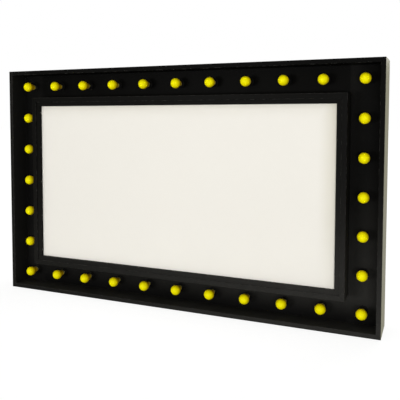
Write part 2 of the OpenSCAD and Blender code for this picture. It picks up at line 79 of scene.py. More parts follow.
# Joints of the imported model
JOINTS = {joint["child"]: joint for joint in frame["joints"]}
LAMP_PLACES = {body: Vector(joint["pos_m"]) for body, joint in JOINTS.items() if body.startswith("lamp_")}
ROCKER_PIVOT = Vector(JOINTS["rocker"]["pos_m"])
ROCKER_SWING = JOINTS["rocker"]["range_deg"][1]

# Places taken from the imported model
LOWEST, HIGHEST = CAD_BOX
MIDDLE_Z = (LOWEST.z + HIGHEST.z) / 2
FRONT_Y = LOWEST.y
LAMP_FRONT_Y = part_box("lamp_top_01")[0].y
LAMP_END_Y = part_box("lamp_top_01")[1].y
COVER_BACK_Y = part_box("back_cover")[1].y
CHANNEL_LEFT_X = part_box("case_left")[1].x
SURROUND_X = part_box("surround_right")[1].x
WINDOW_LOW = Vector((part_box("bead_left")[1].x, 0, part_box("bead_bottom")[1].z))
WINDOW_HIGH = Vector((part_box("bead_right")[0].x, 0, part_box("bead_top")[0].z))

# Worn strip behind the front edge, also a painted highlight: where it starts and where it is full, on its
# near and its far side, the range of noise that breaks it up, and how much of the paint it covers
WORN_HIGHLIGHT_NEAR = (FRONT_Y + 0.2 * MM, FRONT_Y + 0.7 * MM)
WORN_HIGHLIGHT_FAR = (FRONT_Y + 1.9 * MM, FRONT_Y + 1.4 * MM)
WORN_HIGHLIGHT_CHIPS = (0.47, 0.62)
WORN_HIGHLIGHT_SHARE = 0.7

# Painted light on the black paint, a pale coat in the dust colour: how high it reaches, its growth to the
# right, its share in each place, and the height and share at which it thins out as painted shade
PAINTED_LIGHT_TOP_Z = MIDDLE_Z * 1.3
PAINTED_LIGHT_ACROSS = (0.6, 1.9)
PAINTED_LIGHT_LOW = 0.24
PAINTED_LIGHT_LEFT_WALL = 0.17
PAINTED_LIGHT_LEFT_FLOOR = 0.05
PAINTED_LIGHT_RIGHT_WALL = 0.06
SHADED_CHANNEL_Z = 20 * MM
SHADED_CHANNEL_SHARE = 0.05

# Most that loose dust covers of a face that looks up
DUST_ON_PAINT = 0.55
DUST_ON_PLASTIC = 0.35

# Distance from a mitre joint at which its dark line starts and at which it is full, and the line's
# strength in the colour and in the relief
MITRE_LINE = (0.9 * MM, 0.15 * MM)
MITRE_SHARE = 0.6
MITRE_RELIEF = 1.5

# Painted shade in strips along the panel's right and upper edges: their width and their strength
PAINTED_SHADE_RIGHT = 80 * MM
PAINTED_SHADE_RIGHT_SHARE = 0.9
PAINTED_SHADE_TOP = 70 * MM
PAINTED_SHADE_TOP_SHARE = 0.28

# Where a lamp turns amber, from thinner coat and painted shade, and where it is fully amber, from the middle
# of its ball
AMBER_START = -22 * MM
AMBER_FULL = 14 * MM

# Lamp: cap, base and contacts, with the angle from the ball's tip at which the neck leaves the ball.
# A softened edge has its width and its height, and the crimp's four points are measured from the flare.
CAP_WALL = 0.5 * MM
CAP_FOOT = 0.8 * MM
FOOT_WIDTH, FOOT_HEIGHT = 0.3 * MM, 0.4 * MM
RIM_WIDTH, RIM_HEIGHT = 0.1 * MM, 0.3 * MM
CRIMP_DEPTH = 0.2 * MM
CRIMP_PLACES = (2.2 * MM, 1.7 * MM, 1.1 * MM, 0.5 * MM)
FIT_GAP = 0.1 * MM
STUB_LENGTH = 6.5 * MM
BASE_THICK = 3.4 * MM
BASE_WIDTH, BASE_HEIGHT = 0.8 * MM, 0.5 * MM
CONTACT_RADIUS = 2 * MM
CONTACT_HEIGHT = 0.9 * MM
CONTACT_OFFSET = 4.5 * MM
PIN_ROOT = 0.4 * MM
NECK_ANGLE = math.radians(110)
BALL_STEPS = 22
NECK_STEPS = 10

# Bead pins: lengths as shares of a head's radius, and angles in radians
DOME_RISE = 0.55
DOME_ANGLES = (0, 0.35, 0.7, 1.05, 1.35)
HEAD_LIP = 0.2
SHANK_SHARE = 0.4
PIN_DEPTH = 3
PIN_STEPS = 12

# Cover screws: the cross recess, the shank, and where the screws stand
CROSS_DEPTH = 1.6 * MM
CROSS_ARM = 0.55 * MM
CROSS_REACH = 2.2 * MM
CROSS_TAPER = 0.75
SHANK_RADIUS = 1.75 * MM
POINT_LENGTH = 3 * MM
POINT_RADIUS = 0.15 * MM
SCREW_STEPS = 32
SCREW_INSET = 40 * MM
SCREWS_IN_ROW = 6
SCREWS_IN_COLUMN = 3
SCREW_SEED = 7

# Mains inlet: the box round its blades, from the middle of its face
BLADE_REACH = Vector((9 * MM, 0, 5.5 * MM))
BLADE_FRONT = 1 * MM
BLADE_ROOT = 17.7 * MM

# Marks on the rocker: a ring and a bar
MARK_RISE = 5 * MM
MARK_REACH = 6.4 * MM
MARK_HALF_THICK = 0.12 * MM
RING_INSIDE = 1.5 * MM
RING_OUTSIDE = 2.0 * MM
RING_STEPS = 32
BAR_WIDTH = 0.5 * MM
BAR_LENGTH = 4 * MM
BAR_BEVEL = 0.05 * MM

# Stage, in metres. Each light has its place, its target, its width and height, and its watts.
LIGHTS = {
    "right_light": ((2.3, -5.0, 0.4), (0, 0, 0.5), (1.6, 0.7), 78),
    "left_light": ((-1.6, -5.3, 0.4), (0, 0, 0.5), (1.6, 0.7), 85),
    "top_light": ((-0.8, -1.8, 3.6), (0, 0, 0.4), (2.4, 2.4), 4),
    "rear_light": ((1.2, 3.6, 2.8), (0, 0, 0.6), (3.0, 3.0), 55),
}
LIGHT_COLOUR = (1.0, 0.985, 0.955)
ROOM_COLOUR = (0.97, 0.98, 1.0, 1.0)
ROOM_LIGHT = 0.48
FLOOR_RADIUS = 40
FLOOR_STEPS = 64
FLOOR_DROP = 0.5 * MM
FLOOR_SHADES = ((0.90, 0.90, 0.89), (0.93, 0.93, 0.92))
FLOOR_GLOW = 1.2
GLOW_NEAR, GLOW_FAR = 2.0, 7.0
GLOW_SHARE_NEAR, GLOW_SHARE_FAR = 0.72, 0.84

# Camera of the photograph
CAMERA_PLACE = (1.07865, -2.42910, 0.86792)
CAMERA_TILT = math.radians(86.7171)
CAMERA_TURN = math.radians(23.8822)
LENS_MM = 52.07
SENSOR_MM = 36
SHIFT_X = 0.0504
SHIFT_Y = -0.12266
VIEW_END = 200

# Ranges that most of a noise pattern falls in
NOISE_CORE = (0.3, 0.7)
NOISE_SPREAD = (0.25, 0.75)
NOISE_FULL = (0.2, 0.8)

# Sockets that share a name with others, by their place in the node
MIX_SHARE, MIX_FIRST, MIX_SECOND, MIX_RESULT = 0, 6, 7, 2
RANDOM_LARGEST, RANDOM_RESULT = 3, 1


def length(name, description, default):
    """A length property, in metres"""
    return FloatProperty(
        name=name, description=description, default=default, min=0, unit="LENGTH", precision=4)


def colour(name, description, default):
    """A colour property, in linear light"""
    return FloatVectorProperty(
        name=name, description=description, default=default, size=3, min=0, max=1, subtype="COLOR")


class SignSizes(bpy.types.PropertyGroup):
    """Sizes of the pieces that are made here"""
    ball_diameter: length("Ball diameter", "Diameter of a lamp's ball", 45 * MM)
    neck_diameter: length("Neck diameter", "Diameter of the glass where it meets the cap", 24.6 * MM)
    cap_diameter: length("Cap diameter", "Diameter of a lamp's bayonet cap", 22 * MM)
    cap_length: length("Cap length", "Length of a lamp's cap with its contacts", 20 * MM)
    skirt_diameter: length("Skirt diameter", "Diameter of the cap's flared skirt", 26 * MM)
    skirt_length: length("Skirt length", "Length of the cap's flare", 4 * MM)
    cap_pin_diameter: length("Cap pin diameter", "Diameter of a bayonet pin", 2 * MM)
    cap_pin_reach: length("Cap pin reach", "From the lamp's axis to a bayonet pin's end", 12.9 * MM)
    cap_pin_height: length("Cap pin height", "Height of the bayonet pins above the contacts", 7 * MM)
    bead_pin_diameter: length("Bead pin diameter", "Diameter of the pin heads in the bead", 3.4 * MM)
    bead_pin_spacing: length("Bead pin spacing", "Distance between the pins in the bead", 171.5 * MM)
    screw_diameter: length("Screw head diameter", "Diameter of a cover screw's head", 7.2 * MM)
    screw_length: length("Screw length", "Length of a cover screw", 20 * MM)
    lamp_steps: IntProperty(name="Lamp steps", description="Steps round a lamp", default=48, min=12, max=128)


class SignColours(bpy.types.PropertyGroup):
    """Colours of the finishes"""
    paint: colour("Paint", "Satin black of the boards", (0.0028, 0.0028, 0.0029))
    # Dust: also the colour of the painted light on the black boards and of the painted highlight on worn
    # edges
    dust: colour("Dust", "Dust on the boards and the mouldings", (0.060, 0.0585, 0.0545))
    panel: colour("Panel", "Off-white of the display panel", (0.860, 0.838, 0.782))
    # Panel edge: the colour of the painted shade along two edges of the panel
    panel_shade: colour("Panel edge", "Toned strips along two edges of the panel", (0.688, 0.65783, 0.56304))
    lamp: colour("Lamp", "Yellow coat of the balls", (0.960, 0.872, 0.0))
    # Lamp neck: the amber of the thinner coat, also painted as shade over the ball from near its front
    lamp_neck: colour("Lamp neck", "Thinner coat towards the cap", (0.900, 0.550, 0.0))
    cap_brass: colour("Lamp cap", "Dull brass of the caps", (0.46, 0.41, 0.14))
    plastic: colour("Black plastic", "Lampholders, switch and inlet", (0.0095, 0.0095, 0.0095))
    steel: colour("Steel", "Screws and pins", (0.56, 0.55, 0.52))
    brass: colour("Brass", "Threaded inserts", (0.60, 0.40, 0.13))
    timber: colour("Timber", "Bare battens", (0.46, 0.31, 0.16))
    hardboard: colour("Hardboard", "Bare back cover", (0.205, 0.115, 0.056))
    mirrored: colour("Mirrored room", "White surroundings as gloss mirrors them", (1.0, 0.965, 0.70))


def sizes():
    return bpy.context.scene.marquee_sizes


def colours():
    return bpy.context.scene.marquee_colours


def times(rgb, share):
    return tuple(share * part for part in rgb)


def spaced(sockets):
    """Keyword arguments as socket names: Base_Color is Base Color"""
    return {name.replace("_", " "): value for name, value in sockets.items()}


class Value:
    """A socket that takes part in arithmetic: each operation adds one Math node"""

    def __init__(self, nodes, socket):
        self.nodes = nodes
        self.socket = socket

    def _math(self, operation, first, second=0.0):
        return self.nodes.node("ShaderNodeMath", {"operation": operation}, {0: first, 1: second})

    def __add__(self, other):
        return self._math("ADD", self, other)

    def __sub__(self, other):
        return self._math("SUBTRACT", self, other)

    def __mul__(self, other):
        return self._math("MULTIPLY", self, other)

    __rmul__ = __mul__

    def __abs__(self):
        return self._math("ABSOLUTE", self)

    def at_least(self, other):
        return self._math("MAXIMUM", self, other)


class Nodes:
    """A node tree, and the one way in which a node is added to it"""

    def __init__(self, tree):
        self.tree = tree
        tree.nodes.clear()

    def node(self, kind, settings, sockets, out=0):
        """Adds a node by its type, its settings, and a value, a link or a list of links for each socket"""
        made = self.tree.nodes.new(kind)
        for key, value in settings.items():
            setattr(made, key, value)
        for key, value in sockets.items():
            for one in value if isinstance(value, list) else [value]:
                self.join(made.inputs[key], one)
        return Value(self, made.outputs[out]) if made.outputs else None

    def join(self, socket, value):
        if isinstance(value, Value):
            self.tree.links.new(value.socket, socket)
        else:
            socket.default_value = value

    def blend(self, share, first, second):
        """Mixes two colours, each a link or three numbers"""
        pair = [rgb if isinstance(rgb, Value) else (*rgb, 1.0) for rgb in (first, second)]
        sockets = {MIX_SHARE: share, MIX_FIRST: pair[0], MIX_SECOND: pair[1]}
        return self.node("ShaderNodeMix", {"data_type": "RGBA"}, sockets, MIX_RESULT)

    def ray(self, kind):
        return self.node("ShaderNodeLightPath", {}, {}, f"Is {kind} Ray")

    def shown(self):
        """1 on rays that show the surroundings, 0 on those that carry their light to the object"""
        return self.ray("Camera").at_least(self.ray("Glossy")).at_least(self.ray("Transmission"))

    def room_white(self):
        """White to the camera, a little warmer where gloss mirrors it"""
        return self.blend(self.ray("Glossy"), (1.0, 1.0, 1.0), colours().mirrored)


class Finish(Nodes):
    """One procedural material: its nodes, and the surface shader that they feed"""

    def __init__(self, name, **constants):
        self.material = bpy.data.materials.new(name)
        self.material.use_nodes = True
        super().__init__(self.material.node_tree)
        self.surface = self.node("ShaderNodeBsdfPrincipled", {}, spaced(constants))

    def feed(self, **sockets):
        """Joins values to the surface shader"""
        shader = self.surface.socket.node
        for name, value in spaced(sockets).items():
            self.join(shader.inputs[name], value)

    def finish(self, surface=None):
        """Ends the tree in the surface shader, or in another shader that holds it"""
        self.node("ShaderNodeOutputMaterial", {}, {"Surface": surface or self.surface})
        return self.material

    def place(self):
        return self.node("ShaderNodeTexCoord", {}, {}, "Object")

    def axes(self, vector):
        split = self.node("ShaderNodeSeparateXYZ", {}, {0: vector})
        return [Value(self, output) for output in split.socket.node.outputs]

    def upward(self):
        """1 on a face that looks up, 0 on an upright one"""
        normal = self.node("ShaderNodeNewGeometry", {}, {}, "Normal")
        return self.axes(normal)[2].at_least(0.0)

    def noise(self, place, scale, detail=3.0, roughness=0.5, stretch=None):
        """Noise at a scale per metre, drawn out along an axis where stretch is below 1"""
        if stretch:
            place = self.node("ShaderNodeMapping", {}, {"Vector": place, "Scale": stretch})
        sockets = {"Vector": place, "Scale": scale, "Detail": detail, "Roughness": roughness}
        return self.node("ShaderNodeTexNoise", {}, sockets)

    def ease(self, value, start, end, from_share=0.0, to_share=1.0):
        """A smooth step from one share at the start to another at the end"""
        sockets = {"Value": value, "From Min": start, "From Max": end}
        sockets.update({"To Min": from_share, "To Max": to_share})
        return self.node("ShaderNodeMapRange", {"interpolation_type": "SMOOTHSTEP"}, sockets)

    def band(self, value, near, far):
        """1 between two places, 0 outside. Near and far each give where it starts and where it is full."""
        return self.ease(value, *near) * self.ease(value, *far)

    def mottled(self, pattern, rgb, darkest, lightest):
        """A colour between two shades of itself"""
        return self.blend(self.ease(pattern, *NOISE_CORE), times(rgb, darkest), times(rgb, lightest))

    def bump(self, height, distance, strength):
        sockets = {"Height": height, "Distance": distance, "Strength": strength}
        return self.node("ShaderNodeBump", {}, sockets)


def painted_light_film(paint, axes, cloud, shaded_below):
    """Share of a pale coat, in the dust colour, that is painted light on the black. It grows downwards and
    to the right. It also lies on the left channel's wall and floor, and on the surround's right-hand wall
    and the floor beside it. Where a height is given, it thins out below that height as painted shade."""
    x, y, z = axes
    low = paint.ease(z, PAINTED_LIGHT_TOP_Z, LOWEST.z) * paint.ease(x, LOWEST.x, HIGHEST.x, *PAINTED_LIGHT_ACROSS)
    low = low * paint.ease(cloud, *NOISE_FULL, 0.75, 1.0)
    if shaded_below:
        low = low * paint.ease(z, SHADED_CHANNEL_Z, shaded_below, SHADED_CHANNEL_SHARE, 1.0)
    left_near = (CHANNEL_LEFT_X - 17 * MM, CHANNEL_LEFT_X - 3 * MM)
    left_far = (-SURROUND_X, -SURROUND_X - 30 * MM)
    wall_end, floor_start = CHANNEL_LEFT_X + 0.5 * MM, CHANNEL_LEFT_X + 3 * MM
    left = paint.band(x, left_near, left_far)
    left = left * paint.ease(x, wall_end, floor_start, PAINTED_LIGHT_LEFT_WALL, PAINTED_LIGHT_LEFT_FLOOR)
    right_near = (SURROUND_X - 8 * MM, SURROUND_X)
    right_far = (SURROUND_X + 70 * MM, SURROUND_X + 10 * MM)
    right = paint.band(x, right_near, right_far)
    right = right * paint.ease(y, FRONT_Y + 2 * MM, FRONT_Y + 6 * MM, 0.0, PAINTED_LIGHT_RIGHT_WALL)
    return (low * PAINTED_LIGHT_LOW).at_least(left).at_least(right)


def board_paint(name, mitre=None, varnish=0.0, specular=0.03, shaded_below=0.0):
    """Rolled satin black on board, with dust, painted light and shade, worn front edges that carry a painted
    highlight and, in a ring of boards, mitre joints. Mitre is half the ring's width less half its height.
    Varnish is the share of clear coat on the case's outer sides, and specular is the paint's own gloss.
    The last argument is the height below which the painted light thins out as painted shade."""
    look = colours()
    paint = Finish(name, Specular_IOR_Level=specular, Coat_Roughness=0.28)
    place = paint.place()
    x, y, z = paint.axes(place)
    stipple = paint.noise(place, scale=330, detail=4, roughness=0.62)
    drag = paint.noise(place, scale=46, detail=4, roughness=0.55, stretch=(1, 0.35, 1))
    patch = paint.noise(place, scale=3.1, detail=5, roughness=0.6)
    cloud = paint.noise(place, scale=17, detail=6, roughness=0.7)
    speck = paint.noise(place, scale=210, detail=4, roughness=0.7)
    chips = paint.noise(place, scale=58, detail=6, roughness=0.65)
    dust = paint.upward() * paint.ease(cloud * 0.55 + speck * 0.45, *NOISE_SPREAD, 0.25, 1.0)
    # Painted light and shade: a pale coat, lighter towards the bottom and right and in parts of the channels
    painted_light = painted_light_film(paint, (x, y, z), cloud, shaded_below)
    # Worn paint on the front edges, which also carries a painted highlight along them
    worn_highlight = paint.band(y, WORN_HIGHLIGHT_NEAR, WORN_HIGHLIGHT_FAR) * paint.ease(chips, *WORN_HIGHLIGHT_CHIPS)
    base = paint.mottled(patch, look.paint, darkest=0.8, lightest=1.25)
    base = paint.blend((dust * DUST_ON_PAINT).at_least(painted_light), base, look.dust)
    base = paint.blend(worn_highlight * WORN_HIGHLIGHT_SHARE, base, times(look.dust, 1.1))
    height = stipple * 0.6 + drag * 0.4
    if mitre is not None:
        away = abs(abs(x) - abs(z - MIDDLE_Z) - mitre)
        joint = paint.ease(away, *MITRE_LINE)
        base = paint.blend(joint * MITRE_SHARE, base, times(look.paint, 0.35))
        height = height - joint * MITRE_RELIEF
    if varnish:
        outside = paint.ease(abs(x), HIGHEST.x - 1.2 * MM, HIGHEST.x - 0.3 * MM)
        paint.feed(Coat_Weight=outside * paint.ease(patch, *NOISE_FULL, 0.8 * varnish, 1.2 * varnish))
    rough = paint.ease(patch, *NOISE_SPREAD, 0.36, 0.46) + dust * 0.2 - worn_highlight * 0.06
    normal = paint.bump(height, distance=0.35 * MM, strength=0.5)
    paint.feed(Base_Color=base, Roughness=rough, Normal=normal)
    return paint.finish()


def panel_white():
    """Plain off-white sheet: faint mottling, painted lighter towards the bottom, and painted shade along its
    right and upper edges
    """
    look = colours()
    sheet = Finish("panel_white", Specular_IOR_Level=0.25)
    place = sheet.place()
    x, _, z = sheet.axes(place)
    mottle = sheet.noise(place, scale=2.3, detail=4, roughness=0.55)
    fibre = sheet.noise(place, scale=240, detail=3, roughness=0.6, stretch=(1, 1, 0.3))
    cloud = sheet.noise(place, scale=9, detail=4)
    greyer = times(look.panel, 0.962)
    # Painted shade along the right edge, weaker towards the bottom, and along the top edge
    right = sheet.ease(x, WINDOW_HIGH.x - PAINTED_SHADE_RIGHT, WINDOW_HIGH.x)
    right = right * sheet.ease(z, WINDOW_LOW.z, MIDDLE_Z, 0.3, 1.0)
    top = sheet.ease(z, WINDOW_HIGH.z - PAINTED_SHADE_TOP, WINDOW_HIGH.z)
    painted_shade = (right * PAINTED_SHADE_RIGHT_SHARE).at_least(top * PAINTED_SHADE_TOP_SHARE)
    painted_shade = painted_shade * sheet.ease(cloud, *NOISE_FULL, 0.8, 1.0)
    # Painted light: the sheet is lighter towards the bottom and greyer from the middle up
    base = sheet.blend(sheet.ease(z, WINDOW_LOW.z, MIDDLE_Z), look.panel, greyer)
    base = sheet.blend(sheet.ease(mottle, *NOISE_CORE) * 0.5, base, greyer)
    base = sheet.blend(painted_shade, base, look.panel_shade)
    rough = sheet.ease(mottle, *NOISE_SPREAD, 0.46, 0.56)
    normal = sheet.bump(fibre, distance=0.08 * MM, strength=0.3)
    sheet.feed(Base_Color=base, Roughness=rough, Normal=normal)
    return sheet.finish()


def lamp_glass():
    """Yellow-coated glass, thinner and darker towards the cap, with painted shade turning the ball amber
    towards its far side
    """
    look = colours()
    glass = Finish("lamp_yellow", Specular_IOR_Level=0.05)
    place = glass.place()
    _, y, _ = glass.axes(place)
    ball_y = LAMP_FRONT_Y + sizes().ball_diameter / 2
    mottle = glass.noise(place, scale=260, detail=4, roughness=0.6)
    # Amber from near the front of the ball to the cap: thinner coat on the neck, painted shade on the ball
    amber_coat_and_shade = glass.ease(y, ball_y + AMBER_START, ball_y + AMBER_FULL)
    base = glass.mottled(mottle, look.lamp, darkest=0.97, lightest=1.0)
    base = glass.blend(amber_coat_and_shade, base, look.lamp_neck)
    rough = glass.ease(mottle, *NOISE_SPREAD, 0.32, 0.38)
    normal = glass.bump(mottle, distance=0.02 * MM, strength=0.2)
    glass.feed(Base_Color=base, Roughness=rough, Normal=normal)
    return glass.finish()


def metal(name, rgb, rough, scale, metallic=1.0):
    """Drawn or turned metal with fine scratches and a little tarnish. Less metallic, it has a dull skin."""
    bare = Finish(name, Metallic=metallic)
    place = bare.place()
    scratch = bare.noise(place, scale, detail=5, roughness=0.7, stretch=(1, 0.15, 1))
    tarnish = bare.noise(place, scale * 0.12, detail=4, roughness=0.6)
    base = bare.blend(bare.ease(tarnish, 0.35, 0.75), rgb, times(rgb, 0.62))
    uneven = bare.ease(scratch, *NOISE_CORE, rough - 0.07, rough + 0.1)
    normal = bare.bump(scratch, distance=0.05 * MM, strength=0.35)
    bare.feed(Base_Color=base, Roughness=uneven, Normal=normal)
    return bare.finish()


def moulded(name, rgb, rough, specular=0.4, contacts=None):
    """Moulded plastic: a fine sparked texture, uneven gloss and dust on top.
    Contacts is the box that holds plated blades."""
    look = colours()
    plastic = Finish(name, Specular_IOR_Level=specular)
    place = plastic.place()
    spark = plastic.noise(place, scale=1500, detail=3, roughness=0.6)
    patch = plastic.noise(place, scale=60, detail=3, roughness=0.5)
    cloud = plastic.noise(place, scale=90, detail=5, roughness=0.7)
    dust = plastic.upward() * plastic.ease(cloud, 0.4, 0.7)
    base = plastic.mottled(patch, rgb, darkest=0.8, lightest=1.3)
    base = plastic.blend(dust * DUST_ON_PLASTIC, base, look.dust)
    if contacts:
        plated = 1.0
        soft = 0.2 * MM
        for value, low, high in zip(plastic.axes(place), *contacts):
            plated = plated * plastic.band(value, (low, low + soft), (high, high - soft))
        base = plastic.blend(plated, base, look.steel)
        plastic.feed(Metallic=plated)
    uneven = plastic.ease(patch, *NOISE_SPREAD, rough - 0.05, rough + 0.07) + dust * 0.15
    normal = plastic.bump(spark, distance=0.05 * MM, strength=0.4)
    plastic.feed(Base_Color=base, Roughness=uneven, Normal=normal)
    return plastic.finish()


def bare_timber():
    """Planed softwood with grain along its length"""
    look = colours()
    wood = Finish("bare_timber", Specular_IOR_Level=0.3)
    place = wood.place()
    warp = wood.noise(place, scale=6, detail=3, roughness=0.5)
    pore = wood.noise(place, scale=700, detail=3, roughness=0.6, stretch=(0.1, 1, 1))
    grain = {"Vector": place, "Scale": 70.0, "Distortion": warp * 6.0, "Detail": 3.0}
    bands = wood.node("ShaderNodeTexWave", {"bands_direction": "Y"}, grain, "Fac")
    base = wood.blend(wood.ease(bands, 0.1, 0.9), times(look.timber, 0.72), look.timber)
    base = wood.blend(wood.ease(pore, 0.6, 0.75) * 0.4, base, times(look.timber, 0.45))
    rough = wood.ease(bands, 0.0, 1.0, 0.62, 0.72)
    normal = wood.bump(bands, distance=0.2 * MM, strength=0.3)
    wood.feed(Base_Color=base, Roughness=rough, Normal=normal)
    return wood.finish()


def bare_hardboard():
    """Brown pressed board: smooth, with fine flecks, darker patches and pale scuffs"""
    look = colours()
    board = Finish("bare_hardboard", Specular_IOR_Level=0.25)
    place = board.place()
    fleck = board.noise(place, scale=520, detail=5, roughness=0.7)
    cloud = board.noise(place, scale=5, detail=5, roughness=0.6)
    scuff = board.noise(place, scale=34, detail=5, roughness=0.65, stretch=(1, 1, 0.2))
    base = board.mottled(cloud, look.hardboard, darkest=0.8, lightest=1.0)
    base = board.blend(board.ease(fleck, 0.52, 0.7) * 0.45, base, times(look.hardboard, 0.5))
    base = board.blend(board.ease(scuff, 0.6, 0.75) * 0.2, base, times(look.hardboard, 1.6))
    rough = board.ease(cloud, *NOISE_SPREAD, 0.52, 0.64)
    normal = board.bump(fleck, distance=0.06 * MM, strength=0.4)
    board.feed(Base_Color=base, Roughness=rough, Normal=normal)
    return board.finish()


def dress(material, *nodes):
    """Gives CAD nodes a finish"""
    for name in nodes:
        slots = frame["nodes"][name].data.materials
        slots.clear()
        slots.append(material)


def add_piece(name, mesh, body):
    """Adds a piece that rides on a body"""
    piece = bpy.data.objects.new(name, mesh)
    bpy.context.scene.collection.objects.link(piece)
    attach(piece, body)
    return piece


def as_mesh(shape, name, materials=(), sharp=35):
    """Turns a shape into a mesh with its faces outwards, smooth but for edges above sharp degrees"""
    bmesh.ops.recalc_face_normals(shape, faces=shape.faces)
    mesh = bpy.data.meshes.new(name)
    shape.to_mesh(mesh)
    shape.free()
    for material in materials:
        mesh.materials.append(material)
    smooth_by_angle(mesh, sharp)
    return mesh


def smooth_by_angle(mesh, degrees):
    mesh.shade_smooth()
    mesh.set_sharp_from_angle(angle=math.radians(degrees))


def merge(shape, part):
    """Adds a part to a shape, and frees the part"""
    spare = bpy.data.meshes.new("spare")
    part.to_mesh(spare)
    part.free()
    shape.from_mesh(spare)
    bpy.data.meshes.remove(spare)


def round_points(radius, height, steps):
    turns = [FULL_TURN * step / steps for step in range(steps)]
    return [(radius * math.cos(turn), radius * math.sin(turn), height) for turn in turns]


def lathe(shape, section, steps, index=0, closed=False):
    """Turns a section of (radius, height) points about Z. A closed section makes a ring, an open one ends
    at the axis. Index is the material's place in the mesh's list."""
    rings = []
    for radius, height in section:
        points = round_points(radius, height, steps) if radius else [(0, 0, height)]
        rings.append([shape.verts.new(point) for point in points])
    pairs = list(zip(rings, rings[1:]))
    if closed:
        pairs.append((rings[-1], rings[0]))
    for low, high in pairs:
        for step in range(steps):
            lower = [low[step % len(low)], low[(step + 1) % len(low)]]
            upper = [high[(step + 1) % len(high)], high[step % len(high)]]
            face = shape.faces.new(list(dict.fromkeys(lower + upper)))
            face.material_index = index


def stud(shape, radius, low, high, matrix, index, steps=16, softened=0.3):
    """A short round pin along Z of the matrix, its far end softened by a share of its radius"""
    part = bmesh.new()
    soft = radius * softened
    section = [(0, low), (radius, low), (radius, high - soft), (radius - soft, high), (0, high)]
    lathe(part, section, steps, index)
    bmesh.ops.transform(part, matrix=matrix, verts=part.verts)
    merge(shape, part)


def curve_point(start, pull, end, share):
    """A point on a curve that leaves its start towards the pull and comes from there to its end"""
    return (1 - share) ** 2 * start + 2 * share * (1 - share) * pull + share ** 2 * end


def bulb_section():
    """The ball and its neck, in the lamp's own heights above its contacts"""
    size = sizes()
    radius, neck_radius = size.ball_diameter / 2, size.neck_diameter / 2
    centre = LAMP_END_Y - LAMP_FRONT_Y - radius
    stub_radius = size.cap_diameter / 2 - CAP_WALL - FIT_GAP
    seat = size.cap_length + FIT_GAP
    stub_end = seat - STUB_LENGTH
    angles = [NECK_ANGLE * step / BALL_STEPS for step in range(BALL_STEPS + 1)]
    ball = [(radius * math.sin(angle), centre + radius * math.cos(angle)) for angle in angles]
    start = Vector(ball[-1])
    pull = start + (start.x - neck_radius) * Vector((-1, math.tan(NECK_ANGLE)))
    end = Vector((neck_radius, seat))
    neck = [tuple(curve_point(start, pull, end, step / NECK_STEPS)) for step in range(1, NECK_STEPS + 1)]
    return ball + neck + [(stub_radius, seat), (stub_radius, stub_end), (0, stub_end)]


def cap_section():
    """Bayonet cap: a sleeve with a shallow crimp and a flared skirt"""
    size = sizes()
    radius, skirt_radius = size.cap_diameter / 2, size.skirt_diameter / 2
    rim = size.cap_length
    flare = rim - size.skirt_length
    dip = radius - CRIMP_DEPTH
    foot = [(radius - FOOT_WIDTH, CAP_FOOT), (radius, CAP_FOOT + FOOT_HEIGHT)]
    crimp = [(reach, flare - below) for reach, below in zip((radius, dip, dip, radius), CRIMP_PLACES)]
    skirt = [(radius, flare), (skirt_radius, rim - RIM_HEIGHT), (skirt_radius - RIM_WIDTH, rim)]
    inside = [(skirt_radius - CAP_WALL, rim), (radius - CAP_WALL, flare), (radius - CAP_WALL, CAP_FOOT)]
    return foot + crimp + skirt + inside


def base_section():
    """The disc that closes the cap and carries the contacts"""
    radius = sizes().cap_diameter / 2 - CAP_WALL - FIT_GAP
    top = CAP_FOOT + BASE_THICK
    edge = [(radius, top), (radius, CAP_FOOT + BASE_HEIGHT), (radius - BASE_WIDTH, CAP_FOOT)]
    return [(0, top)] + edge + [(0, CAP_FOOT)]


def lamp_shape():
    """One lamp at the origin, its axis along Z, its contacts at height 0"""
    size = sizes()
    lamp = bmesh.new()
    glass, brass, plastic = range(3)
    lathe(lamp, bulb_section(), size.lamp_steps, glass)
    lathe(lamp, cap_section(), size.lamp_steps, brass, closed=True)
    lathe(lamp, base_section(), size.lamp_steps, plastic)
    root = size.cap_diameter / 2 - PIN_ROOT
    for side in (-1, 1):
        outwards = Matrix.Rotation(side * QUARTER_TURN, 4, "Y")
        pin = Matrix.Translation((0, 0, size.cap_pin_height)) @ outwards
        stud(lamp, size.cap_pin_diameter / 2, root, size.cap_pin_reach, pin, brass)
        downwards = Matrix.Rotation(math.pi, 4, "X")
        contact = Matrix.Translation((0, side * CONTACT_OFFSET, CONTACT_HEIGHT)) @ downwards
        stud(lamp, CONTACT_RADIUS, 0, CONTACT_HEIGHT, contact, brass)
    return lamp


